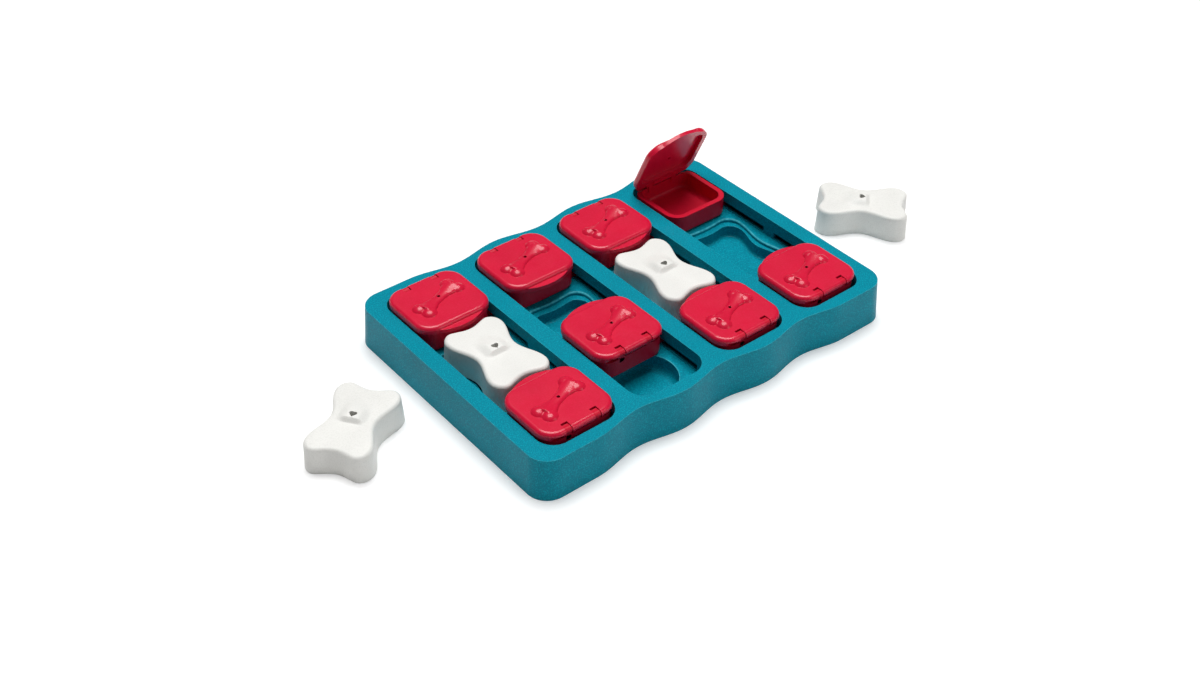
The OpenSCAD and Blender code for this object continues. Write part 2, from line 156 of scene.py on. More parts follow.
def sliced(bm: bmesh.types.BMesh, point: tuple, normal: tuple) -> None:
    """Adds a row of edges where a plane crosses a solid.

    Args:
        bm: The solid.
        point: A point of the plane.
        normal: The plane's normal.
    """
    parts = bm.verts[:] + bm.edges[:] + bm.faces[:]
    bmesh.ops.bisect_plane(bm, geom=parts, plane_co=point, plane_no=normal)


@dataclass(frozen=True)
class BonePlan:
    """Plan of a bone with four lobes: a rounded rectangle drawn in at its waist and its ends."""

    half_x: float
    half_y: float
    lobe: float
    waist: float
    ends: float

    def block(self, z0: float, z1: float) -> bmesh.types.BMesh:
        """Makes an upright block on the plan.

        Args:
            z0: Height of its underside.
            z1: Height of its top.

        Returns:
            The block as a new bmesh.
        """
        bm = slab(self.half_x, self.half_y, z0, z1, self.lobe, 10)
        for k in range(1, 20):
            sliced(bm, (0, (self.half_y - self.lobe) * (k / 10 - 1), 0), (0, 1, 0))
        for k in range(1, 14):
            sliced(bm, ((self.half_x - self.lobe) * (k / 7 - 1), 0, 0), (1, 0, 0))
        for vert in bm.verts:
            self.pinch(vert)
        return bm

    def pinch(self, vert: bmesh.types.BMVert) -> None:
        """Draws a vertex in towards the waist and the middle of the ends."""
        x, y, _ = vert.co
        in_x = self.waist * (x / self.half_x) ** 2 * bell(y, self.half_y - self.lobe)
        in_y = self.ends * (y / self.half_y) ** 2 * bell(x, self.half_x - self.lobe / 2)
        vert.co.x = math.copysign(max(abs(x) - in_x, 0), x)
        vert.co.y = math.copysign(max(abs(y) - in_y, 0), y)


def gathered(solids: list) -> bmesh.types.BMesh:
    """Puts solids that lie apart into one bmesh.

    Args:
        solids: The solids. They are freed.

    Returns:
        All of them as a new bmesh.
    """
    whole = bmesh.new()
    for bm in solids:
        mesh = bpy.data.meshes.new("part")
        bm.to_mesh(mesh)
        bm.free()
        whole.from_mesh(mesh)
        bpy.data.meshes.remove(mesh)
    return whole


def moved(bm: bmesh.types.BMesh, x: float, y: float) -> bmesh.types.BMesh:
    """Moves a solid level and returns it."""
    bmesh.ops.translate(bm, vec=(x, y, 0), verts=bm.verts)
    return bm


def rounded(bm: bmesh.types.BMesh, edges: list, radius: float, steps: int) -> None:
    """Rounds edges over in place.

    Args:
        bm: The solid.
        edges: The edges to round.
        radius: Radius of the rounding.
        steps: Facets across it.
    """
    bmesh.ops.bevel(
        bm,
        geom=edges,
        offset=radius,
        offset_type="OFFSET",
        affect="EDGES",
        segments=steps,
        profile=0.5,
        material=-1,
        clamp_overlap=True,
    )


def rim_edges(bm: bmesh.types.BMesh, z: float) -> list:
    """Returns the edges between the level faces at the height z and the faces beside them."""
    found = []
    for edge in bm.edges:
        if all(abs(v.co.z - z) < NEAR for v in edge.verts) and len(edge.link_faces) == 2:
            level = [abs(f.normal.z) > 0.99 for f in edge.link_faces]
            if level[0] != level[1]:
                found.append(edge)
    return found


def as_object(bm: bmesh.types.BMesh, name: str) -> bpy.types.Object:
    """Puts a bmesh into a new linked object and frees the bmesh.

    Args:
        bm: The solid.
        name: Name of the object.

    Returns:
        The object, at the origin.
    """
    mesh = bpy.data.meshes.new(name)
    bm.to_mesh(mesh)
    bm.free()
    made = bpy.data.objects.new(name, mesh)
    bpy.context.scene.collection.objects.link(made)
    return made


def evaluated(made: bpy.types.Object) -> bmesh.types.BMesh:
    """Returns an object's mesh with its modifiers applied, and removes the object."""
    graph = bpy.context.evaluated_depsgraph_get()
    mesh = bpy.data.meshes.new_from_object(made.evaluated_get(graph))
    bm = bmesh.new()
    bm.from_mesh(mesh)
    old = made.data
    bpy.data.objects.remove(made)
    bpy.data.meshes.remove(old)
    bpy.data.meshes.remove(mesh)
    return bm


def combined(base: bmesh.types.BMesh, other: bmesh.types.BMesh, cut: Cut) -> bmesh.types.BMesh:
    """Cuts one solid out of another, or joins the two.

    Args:
        base: The solid that is kept. It is freed.
        other: The second solid. It is freed.
        cut: What the second solid does.

    Returns:
        The result as a new bmesh.
    """
    first = as_object(base, "stock")
    second = as_object(other, "cutter")
    modifier = first.modifiers.new("cut", "BOOLEAN")
    modifier.operation = cut.value
    modifier.solver = "EXACT"
    modifier.object = second
    result = evaluated(first)
    old = second.data
    bpy.data.objects.remove(second)
    bpy.data.meshes.remove(old)
    bmesh.ops.remove_doubles(result, verts=result.verts, dist=NEAR / 5)
    return result


def softened(bm: bmesh.types.BMesh, radius: float, steps: int = 2, least: float = 35.0) -> None:
    """Takes the sharpness off every edge that turns by more than an angle.

    Args:
        bm: The solid.
        radius: Radius of the rounding.
        steps: Facets across it.
        least: Angle in degrees from which an edge is rounded.
    """
    bmesh.ops.dissolve_limit(bm, angle_limit=math.radians(0.5), verts=bm.verts, edges=bm.edges)
    sharp = [e for e in bm.edges if len(e.link_faces) == 2 and e.calc_face_angle(0) > math.radians(least)]
    rounded(bm, sharp, radius, steps)
    bmesh.ops.remove_doubles(bm, verts=bm.verts, dist=NEAR / 5)


# ---- finishes ----


@dataclass(frozen=True)
class Finish:
    """A moulded plastic: its colour, its specks, its gloss, its moulding grain and a painted highlight on its rolled
    edges.
    """

    name: str
    slot: str
    colour: tuple[float, float, float]
    speck: tuple[float, float, float]
    speck_share: float
    roughness: float
    grain_depth: float
    coat: float = 0.0
    subsurface: float = 0.0
    specular: float = 0.5
    # Colour and amount of the painted highlight on the rolled edges.
    worn: tuple[float, float, float] = (1.0, 1.0, 1.0)
    edge_sheen: float = 0.0

    def dress(self, groups: "Effects") -> bpy.types.Material:
        """Builds the material.

        Args:
            groups: The shared node groups.

        Returns:
            The finished material.
        """
        material = bpy.data.materials.new(self.name)
        material.use_nodes = True
        nodes, links = material.node_tree.nodes, material.node_tree.links
        shader = nodes["Principled BSDF"]
        shader.inputs["Coat Weight"].default_value = self.coat
        shader.inputs["Coat Roughness"].default_value = 0.16
        shader.inputs["Specular IOR Level"].default_value = self.specular
        shader.inputs["IOR"].default_value = 1.48
        if self.subsurface:
            shader.inputs["Subsurface Weight"].default_value = self.subsurface
            shader.inputs["Subsurface Scale"].default_value = 0.002
        specks = nodes.new("ShaderNodeGroup")
        specks.node_tree = groups.specks
        specks.inputs["Colour"].default_value = (*self.colour, 1)
        specks.inputs["Speck"].default_value = (*self.speck, 1)
        specks.inputs["Share"].default_value = self.speck_share
        grain = nodes.new("ShaderNodeGroup")
        grain.node_tree = groups.grain
        grain.inputs["Roughness"].default_value = self.roughness
        bump = nodes.new("ShaderNodeBump")
        bump.inputs["Strength"].default_value = 1.0
        bump.inputs["Distance"].default_value = self.grain_depth * MM
        colour = specks.outputs["Colour"]
        # Paints a highlight on the rolled edges, towards the highlight colour.
        if self.edge_sheen:
            edges = nodes.new("ShaderNodeGroup")
            edges.node_tree = groups.edge_sheen
            edges.inputs["Worn"].default_value = (*self.worn, 1)
            edges.inputs["Amount"].default_value = self.edge_sheen
            links.new(colour, edges.inputs["Colour"])
            colour = edges.outputs["Colour"]
        links.new(colour, shader.inputs["Base Color"])
        links.new(grain.outputs["Roughness"], shader.inputs["Roughness"])
        links.new(grain.outputs["Height"], bump.inputs["Height"])
        links.new(bump.outputs["Normal"], shader.inputs["Normal"])
        return material


class Effects:
    """The shader node groups that every plastic shares."""

    def __init__(self) -> None:
        """Builds the groups once."""
        self.specks = self.speck_group()
        self.grain = self.grain_group()
        # The group that paints a highlight on rolled edges.
        self.edge_sheen = self.edge_sheen_group()

    @staticmethod
    def group(name: str, inputs: dict[str, str], outputs: dict[str, str]) -> bpy.types.NodeTree:
        """Makes an empty group with its sockets.

        Args:
            name: Name of the group.
            inputs: Socket type of each input, by name.
            outputs: Socket type of each output, by name.

        Returns:
            The group's node tree.
        """
        tree = bpy.data.node_groups.new(name, "ShaderNodeTree")
        for socket, kind in inputs.items():
            tree.interface.new_socket(name=socket, in_out="INPUT", socket_type=kind)
        for socket, kind in outputs.items():
            tree.interface.new_socket(name=socket, in_out="OUTPUT", socket_type=kind)
        tree.nodes.new("NodeGroupInput")
        tree.nodes.new("NodeGroupOutput")
        return tree

    @staticmethod
    def noise(tree: bpy.types.NodeTree, scale: float, detail: float) -> bpy.types.Node:
        """Adds a noise texture on Object coordinates.

        Args:
            tree: The node tree.
            scale: Cells a metre.
            detail: Octaves.

        Returns:
            The noise node.
        """
        place = tree.nodes.new("ShaderNodeTexCoord")
        noise = tree.nodes.new("ShaderNodeTexNoise")
        noise.inputs["Scale"].default_value = scale
        noise.inputs["Detail"].default_value = detail
        tree.links.new(place.outputs["Object"], noise.inputs["Vector"])
        return noise

    @staticmethod
    def ramp(tree: bpy.types.NodeTree, value, low: float, high: float, to: tuple[float, float]) -> bpy.types.Node:
        """Adds a clamped map of a value's range.

        Args:
            tree: The node tree.
            value: The socket that is mapped.
            low: Value at which the result is to[0].
            high: Value at which the result is to[1].
            to: The result's two ends.

        Returns:
            The map node.
        """
        node = tree.nodes.new("ShaderNodeMapRange")
        node.inputs["From Min"].default_value = low
        node.inputs["From Max"].default_value = high
        node.inputs["To Min"].default_value = to[0]
        node.inputs["To Max"].default_value = to[1]
        tree.links.new(value, node.inputs["Value"])
        return node

    def speck_group(self) -> bpy.types.NodeTree:
        """Returns the group that mottles a colour and puts fine specks in it."""
        tree = self.group(
            "plastic_specks",
            {"Colour": "NodeSocketColor", "Speck": "NodeSocketColor", "Share": "NodeSocketFloat"},
            {"Colour": "NodeSocketColor"},
        )
        nodes, links = tree.nodes, tree.links
        given, out = nodes["Group Input"], nodes["Group Output"]
        fine = self.noise(tree, 1150, 2)
        broad = self.noise(tree, 45, 3)
        speck = self.ramp(tree, fine.outputs["Fac"], 0.46, 0.66, (0, 1))
        share = nodes.new("ShaderNodeMath")
        share.operation = "MULTIPLY"
        mix = nodes.new("ShaderNodeMix")
        mix.data_type = "RGBA"
        shade = self.ramp(tree, broad.outputs["Fac"], 0.3, 0.7, (0.965, 1.035))
        tone = nodes.new("ShaderNodeMix")
        tone.data_type = "RGBA"
        tone.blend_type = "MULTIPLY"
        tone.inputs["Factor"].default_value = 1.0
        links.new(speck.outputs["Result"], share.inputs[0])
        links.new(given.outputs["Share"], share.inputs[1])
        links.new(share.outputs["Value"], mix.inputs["Factor"])
        links.new(given.outputs["Colour"], mix.inputs["A"])
        links.new(given.outputs["Speck"], mix.inputs["B"])
        links.new(mix.outputs["Result"], tone.inputs["A"])
        links.new(shade.outputs["Result"], tone.inputs["B"])
        links.new(tone.outputs["Result"], out.inputs["Colour"])
        return tree

    def edge_sheen_group(self) -> bpy.types.NodeTree:
        """Returns the group that paints a highlight on the rolled edges: lighter where the surface tilts between
        level and upright, above 12 to 15 mm of height, in patches.
        """
        tree = self.group(
            "painted_edge_highlight",
            {"Colour": "NodeSocketColor", "Worn": "NodeSocketColor", "Amount": "NodeSocketFloat"},
            {"Colour": "NodeSocketColor"},
        )
        nodes, links = tree.nodes, tree.links
        given, out = nodes["Group Input"], nodes["Group Output"]
        place = nodes.new("ShaderNodeTexCoord")
        split = nodes.new("ShaderNodeSeparateXYZ")
        links.new(place.outputs["Normal"], split.inputs["Vector"])
        # Painted highlight mask: tilted faces, not level ones, in patches, above the well bottoms.
        rolled = self.ramp(tree, split.outputs["Z"], 0.25, 0.55, (0, 1))
        level = self.ramp(tree, split.outputs["Z"], 0.86, 0.985, (1, 0))
        patchy = self.ramp(tree, self.noise(tree, 300, 3).outputs["Fac"], 0.35, 0.6, (0.35, 1))
        height = nodes.new("ShaderNodeSeparateXYZ")
        links.new(place.outputs["Object"], height.inputs["Vector"])
        above_well_bottoms = self.ramp(tree, height.outputs["Z"], 0.012, 0.015, (0, 1))
        mask = given.outputs["Amount"]
        for part in (rolled, level, patchy, above_well_bottoms):
            both = nodes.new("ShaderNodeMath")
            both.operation = "MULTIPLY"
            links.new(mask, both.inputs[0])
            links.new(part.outputs["Result"], both.inputs[1])
            mask = both.outputs["Value"]
        mix = nodes.new("ShaderNodeMix")
        mix.data_type = "RGBA"
        links.new(mask, mix.inputs["Factor"])
        links.new(given.outputs["Colour"], mix.inputs["A"])
        links.new(given.outputs["Worn"], mix.inputs["B"])
        links.new(mix.outputs["Result"], out.inputs["Colour"])
        return tree

    def grain_group(self) -> bpy.types.NodeTree:
        """Returns the group that gives the height of the moulding grain and an uneven gloss."""
        tree = self.group(
            "moulding_grain",
            {"Roughness": "NodeSocketFloat"},
            {"Height": "NodeSocketFloat", "Roughness": "NodeSocketFloat"},
        )
        nodes, links = tree.nodes, tree.links
        given, out = nodes["Group Input"], nodes["Group Output"]
        fine = self.noise(tree, 1500, 2)
        worn = self.noise(tree, 70, 3)
        gloss = self.ramp(tree, worn.outputs["Fac"], 0.3, 0.7, (-0.04, 0.05))
        total = nodes.new("ShaderNodeMath")
        total.operation = "ADD"
        links.new(fine.outputs["Fac"], out.inputs["Height"])
        links.new(given.outputs["Roughness"], total.inputs[0])
        links.new(gloss.outputs["Result"], total.inputs[1])
        links.new(total.outputs["Value"], out.inputs["Roughness"])
        return tree


TEAL = Finish(
    name="teal_plastic",
    slot="tray",
    colour=(0.001, 0.215, 0.300),
    speck=(0.003, 0.48, 0.60),
    speck_share=0.5,
    roughness=0.36,
    grain_depth=0.09,
    coat=0.06,
    specular=0.06,
    # Painted highlight on the tray's rolled edges: its colour and amount.
    worn=(0.12, 0.72, 0.84),
    edge_sheen=0.65,
)
CRIMSON = Finish(
    name="crimson_plastic",
    slot="box_lid",
    colour=(0.67, 0.004, 0.037),
    speck=(0.80, 0.016, 0.085),
    speck_share=0.3,
    roughness=0.34,
    grain_depth=0.04,
    coat=0.45,
    specular=0.25,
)
DARK_CRIMSON = Finish(
    name="dark_crimson_plastic",
    slot="box_body",
    colour=(0.60, 0.004, 0.028),
    speck=(0.70, 0.010, 0.05),
    speck_share=0.3,
    roughness=0.38,
    grain_depth=0.05,
    specular=0.25,
)
WHITE = Finish(
    name="white_plastic",
    slot="bone",
    colour=(0.84, 0.835, 0.80),
    speck=(0.66, 0.66, 0.62),
    speck_share=0.3,
    roughness=0.42,
    grain_depth=0.08,
    specular=0.35,
)


def finished(
    bm: bmesh.types.BMesh, name: str, place: Matrix, material: bpy.types.Material, smooth: float = 35.0
) -> bpy.types.Object:
    """Turns a solid in millimetres into a piece at its place.

    Args:
        bm: The solid in its own frame. It isn't freed.
        name: Name of the piece.
        place: Its place, in millimetres.
        material: Its material.
        smooth: Angle in degrees up to which faces are shaded as one.

    Returns:
        The piece, with its place in its mesh.
    """
    copy = bm.copy()
    bmesh.ops.transform(copy, matrix=Matrix.Scale(MM, 4) @ place, verts=copy.verts)
    piece = as_object(copy, name)
    piece.data.materials.append(material)
    piece.data.shade_smooth()
    piece.data.set_sharp_from_angle(angle=math.radians(smooth))
    weighted = piece.modifiers.new("flat faces stay flat", "WEIGHTED_NORMAL")
    weighted.keep_sharp = True
    log.info("piece %s: %d faces", name, len(piece.data.polygons))
    return piece


# ---- places ----


@dataclass(frozen=True)
class Place:
    """Where a box stands: its channel, its end, how far it is slid in and how far its lid is open."""

    channel: int
    side: Side
    slid_in: float = 0.0
    lid_angle: float = 0.0

    PITCH = 76.0
    CHANNELS = 4
    BOX_Y = 68.35

    @property
    def tag(self) -> str:
        """Returns the end of the names of this box's nodes."""
        return f"{self.channel}_{self.side.name.lower()}"

    @property
    def matrix(self) -> Matrix:
        """Returns the box's place. Its own +Y points towards its hinge."""
        x = channel_x(self.channel)
        y = self.side.value * (self.BOX_Y - self.slid_in)
        turn = math.pi if self.side is Side.FRONT else 0.0
        return Matrix.Translation((x, y, 0)) @ Matrix.Rotation(turn, 4, "Z")

    def lid_matrix(self, hinge_y: float, hinge_z: float) -> Matrix:
        """Returns the lid's place, turned about its hinge.

        Args:
            hinge_y: Y of the hinge axis in the box's own frame.
            hinge_z: Z of the hinge axis.

        Returns:
            The lid's place in millimetres.
        """
        axis = Matrix.Translation((0, hinge_y, hinge_z))
        turn = Matrix.Rotation(-math.radians(self.lid_angle), 4, "X")
        return self.matrix @ axis @ turn @ axis.inverted()


def channel_x(channel: int) -> float:
    """Returns X of the middle of a channel."""
    return (channel - (Place.CHANNELS + 1) / 2) * Place.PITCH


PLACES = [
    Place(1, Side.FRONT),
    Place(1, Side.BACK),
    Place(2, Side.FRONT, slid_in=37.9),
    Place(2, Side.BACK),
    Place(3, Side.FRONT),
    Place(3, Side.BACK),
    Place(4, Side.FRONT),
    Place(4, Side.BACK, lid_angle=66.0),
]


# ---- tray ----


@dataclass
class Tray:
    """The tray: a wavy shell with four troughs, whose floors hold two round wells and a bone well each."""

    half_x: float = 159.5
    half_y: float = 110.2
    height: float = 32.2
    corner: float = 16.0
    wave: float = 5.7
    draft: float = 2.0
    skin: float = 2.8
    wall: float = 2.4
    channel_x: float = 30.6
    channel_y: float = 98.5
    channel_corner: float = 14.0
    floor: float = 17.0
    floor_t: float = 2.8
    well_floor: float = 5.0
    well_r: float = 23.2
    well_y: float = 67.5
    well_round: float = 5.0
    rib_end: float = 102.1
    slot_z: tuple[float, float] = (17.8, 22.9)
    slot_y: tuple[float, float] = (5.5, 86.0)
    rim_round: float = 2.5
    groove_round: float = 1.7
    mouth_round: float = 0.8
    ledge_round: float = 0.5
    corner_round: float = 2.0
    foot_round: float = 0.6

    GROOVE = BonePlan(26.0, 38.2, 10.5, 4.4, 1.4)
    WELL = BonePlan(23.0, 33.4, 10.0, 5.4, 1.6)
    CUP = BonePlan(28.4, 40.6, 12.9, 4.4, 1.4)
    BETWEEN = 41.0

    def wavy_block(self, inset: float, z0: float, z1: float) -> bmesh.types.BMesh:
        """Makes a block on the tray's wavy outline, leaning in with its height.

        Args:
            inset: How far its sides lie inside the tray's.
            z0: Height of its underside.
            z1: Height of its top.

        Returns:
            The block as a new bmesh.
        """
        bm = slab(self.half_x - inset, self.half_y - inset, z0, z1, self.corner - inset, 12)
        last = channel_x(Place.CHANNELS)
        steps = 20 * (Place.CHANNELS - 1)
        for k in range(steps + 1):
            sliced(bm, (last * (2 * k / steps - 1), 0, 0), (1, 0, 0))
        for vert in bm.verts:
            x, y, z = vert.co
            dip = self.wave * (1 - math.cos(2 * math.pi * (x - last) / Place.PITCH)) / 2
            lean = self.draft * z / self.height
            y -= math.copysign(dip if abs(x) < last else 0.0, y)
            vert.co.x = x * (1 - lean / self.half_x)
            vert.co.y = y * (1 - lean / self.half_y)
        return bm

    @staticmethod
    def channels(make) -> bmesh.types.BMesh:
        """Gathers what make returns for one channel, at the place of each channel."""
        return gathered([moved(bm, channel_x(c + 1), 0) for c in range(Place.CHANNELS) for bm in make()])

    def ribs(self, bm: bmesh.types.BMesh) -> bmesh.types.BMesh:
        """Adds the ribs under the dividers, with short cross ribs between the troughs."""
        top = self.height - self.skin / 2
        half = self.wall / 2
        reach = Place.PITCH / 2 - self.channel_x - half
        spots = [channel_x(c) + Place.PITCH / 2 for c in range(1, Place.CHANNELS)]
        long = [brick((x - half, x + half), (-self.rib_end, self.rib_end), (0, top)) for x in spots]
        cross = [brick((x - reach, x + reach), (-half, half), (0, top)) for x in spots]
        return combined(combined(bm, gathered(long), Cut.JOIN), gathered(cross), Cut.JOIN)

    def round_well(self, radius: float, z0: float, z1: float, edge: float) -> bmesh.types.BMesh:
        """Makes an upright round block with its lower edge rounded."""
        bm = post(radius, 0, 0, z0, z1, 96)
        rounded(bm, rim_edges(bm, z0), edge, 6)
        return bm

    def both_ends(self, make) -> list:
        """Returns what make gives, at the middle of both round wells."""
        return [moved(make(), 0, end * self.well_y) for end in (-1, 1)]

    def troughs(self, bm: bmesh.types.BMesh) -> bmesh.types.BMesh:
        """Adds the troughs and their cups, still solid."""
        over = 0.02
        x, y = self.channel_x + self.wall + over, self.channel_y + self.wall
        ledge = self.floor - self.floor_t
        low = self.well_floor - self.wall
        top = self.height - self.skin + over
        bm = combined(bm, self.channels(lambda: [brick((-x, x), (-y, y), (ledge, top))]), Cut.JOIN)
        radius, edge = self.well_r + self.wall, self.well_round + self.wall
        cup = self.both_ends
        bm = combined(
            bm,
            self.channels(
                lambda: cup(lambda: self.round_well(radius, low, ledge + 1, edge)) + [self.CUP.block(low, ledge + 1)]
            ),
            Cut.JOIN,
        )
        return bm

    def slots(self) -> list:
        """Returns the cutters for the slots of one channel."""
        reach = (self.channel_x - 1, self.channel_x + self.wall + 1)
        cuts = []
        for side in (-1, 1):
            for end in (-1, 1):
                xs = tuple(sorted(side * v for v in reach))
                ys = tuple(sorted(end * v for v in self.slot_y))
                cuts.append(brick(xs, ys, self.slot_z))
        return cuts

    def hollows(self, bm: bmesh.types.BMesh) -> bmesh.types.BMesh:
        """Cuts the channels, the wells, the grooves and the slots."""
        ledge = self.floor - self.floor_t
        high = self.floor + 1
        cuts = (
            lambda: [slab(self.channel_x, self.channel_y, self.floor, self.height + 1, self.channel_corner, 14)],
            lambda: self.both_ends(lambda: self.round_well(self.well_r, self.well_floor, high, self.well_round)),
            lambda: [self.GROOVE.block(ledge, high)],
            lambda: [self.WELL.block(self.well_floor, high)],
            self.slots,
        )
        for cut in cuts:
            bm = combined(bm, self.channels(cut), Cut.AWAY)
        return bm

    def edges_at(self, bm: bmesh.types.BMesh, z: float, convex: bool, round_wells: bool) -> list:
        """Returns edges of the hollows at the height z.

        Args:
            bm: The tray.
            z: The height.
            convex: Whether the edges stand out, or lie in a corner.
            round_wells: Whether they belong to the round wells, or to what lies between these.

        Returns:
            The edges.
        """
        return [
            e
            for e in rim_edges(bm, z)
            if e.is_convex == convex
            and max(abs(v.co.y) for v in e.verts) < self.channel_y - 2
            and (min(abs(v.co.y) for v in e.verts) > self.BETWEEN) == round_wells
        ]

    def build(self) -> bmesh.types.BMesh:
        """Returns the tray's solid."""
        bm = self.wavy_block(0, 0, self.height)
        bm = combined(bm, self.wavy_block(self.skin, -1, self.height - self.skin), Cut.AWAY)
        bm = self.ribs(bm)
        bm = self.troughs(bm)
        bm = self.hollows(bm)
        bmesh.ops.dissolve_limit(bm, angle_limit=math.radians(0.2), verts=bm.verts, edges=bm.edges)
        ledge = self.floor - self.floor_t
        rounded(bm, rim_edges(bm, self.height), self.rim_round, 5)
        rounded(bm, self.edges_at(bm, self.floor, True, False), self.groove_round, 4)
        rounded(bm, self.edges_at(bm, self.floor, True, True), self.mouth_round, 3)
        rounded(bm, self.edges_at(bm, ledge, True, False), self.ledge_round, 2)
        rounded(bm, self.edges_at(bm, self.well_floor, False, False), self.corner_round, 4)
        return bm

    @staticmethod
    def nodes() -> list[str]:
        """Returns the names of the solids that make up the tray."""
        names = ["tray"]
        for c in range(1, Place.CHANNELS + 1):
            names += [f"tray_channel_{c}", f"bone_cup_{c}"]
            names += [f"round_cup_{c}_{side.name.lower()}" for side in Side]
        return names

    def make(self, materials: dict[str, bpy.types.Material]) -> None:
        """Makes the tray's piece.

        Args:
            materials: The materials by slot.
        """
        bm = self.build()
        piece = finished(bm, "moulded_tray", Matrix.Identity(4), materials["tray"], smooth=30.0)
        bm.free()
        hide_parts(*self.nodes())
        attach(piece, "tray")


# ---- boxes ----


@dataclass
class BoxBody:
    """A sliding box: an open bowl with two hinge arms and four slide feet."""

    half_x: float = 28.7
    half_y: float = 26.25
    corner: float = 12.3
    bottom: float = 18.1
    top: float = 33.0
    rim: float = 4.0
    floor: float = 2.0
    bottom_round: float = 1.5
    bowl_round: float = 3.0
    hinge_y: float = 24.25
    hinge_z: float = 35.5
    relief: float = 3.6
    arm_x: float = 11.8
    arm_w: float = 4.6
    arm_r: float = 2.7
    arm_foot: float = 29.0
    nose_y: float = 2.9
    nose_z: float = 2.35
    foot_x: float = 26.7
    foot_reach: float = 33.9
    foot_y: float = 17.3
    foot_l: float = 9.0
    foot_top: float = 22.4
    soft: float = 0.35

    def build(self) -> bmesh.types.BMesh:
        """Returns the box's solid in its own frame."""
        bm = slab(self.half_x, self.half_y, self.bottom, self.top, self.corner, 12)
        rounded(bm, rim_edges(bm, self.bottom), self.bottom_round, 4)
        bowl_floor = self.bottom + self.floor
        bowl = slab(
            self.half_x - self.rim,
            self.half_y - self.rim,
            bowl_floor,
            self.top + 5,
            self.corner - self.rim,
            12,
        )
        rounded(bowl, rim_edges(bowl, bowl_floor), self.bowl_round, 5)
        bm = combined(bm, bowl, Cut.AWAY)
        bm = combined(bm, rod(self.relief, 40, self.hinge_y, self.hinge_z, 48), Cut.AWAY)
        for sign in (-1, 1):
            middle = sign * self.arm_x
            xs = (middle - self.arm_w / 2, middle + self.arm_w / 2)
            leg = brick(xs, (self.hinge_y - self.arm_r, self.half_y), (self.arm_foot, self.hinge_z))
            head = rod(self.arm_r, self.arm_w / 2, self.hinge_y, self.hinge_z, 32)
            bmesh.ops.translate(head, vec=(middle, 0, 0), verts=head.verts)
            nose = brick(
                xs,
                (self.hinge_y - self.nose_y, self.hinge_y),
                (self.hinge_z - 1, self.hinge_z + self.nose_z),
            )
            arm = combined(combined(leg, head, Cut.JOIN), nose, Cut.JOIN)
            bm = combined(bm, arm, Cut.JOIN)
            for end in (-1, 1):
                ys = sorted((end * self.foot_y, end * (self.foot_y - self.foot_l)))
                reach = sorted((sign * self.foot_x, sign * self.foot_reach))
                foot = brick(tuple(reach), tuple(ys), (self.bottom, self.foot_top))
                bm = combined(bm, foot, Cut.JOIN)
        softened(bm, self.soft)
        return bm

    def make(self, materials: dict[str, bpy.types.Material]) -> None:
        """Makes the piece of every box.

        Args:
            materials: The materials by slot.
        """
        bm = self.build()
        for place in PLACES:
            node = f"box_body_{place.tag}"
            piece = finished(bm, f"box_{place.tag}", place.matrix, materials["box_body"])
            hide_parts(node)
            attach(piece, node)
        bm.free()


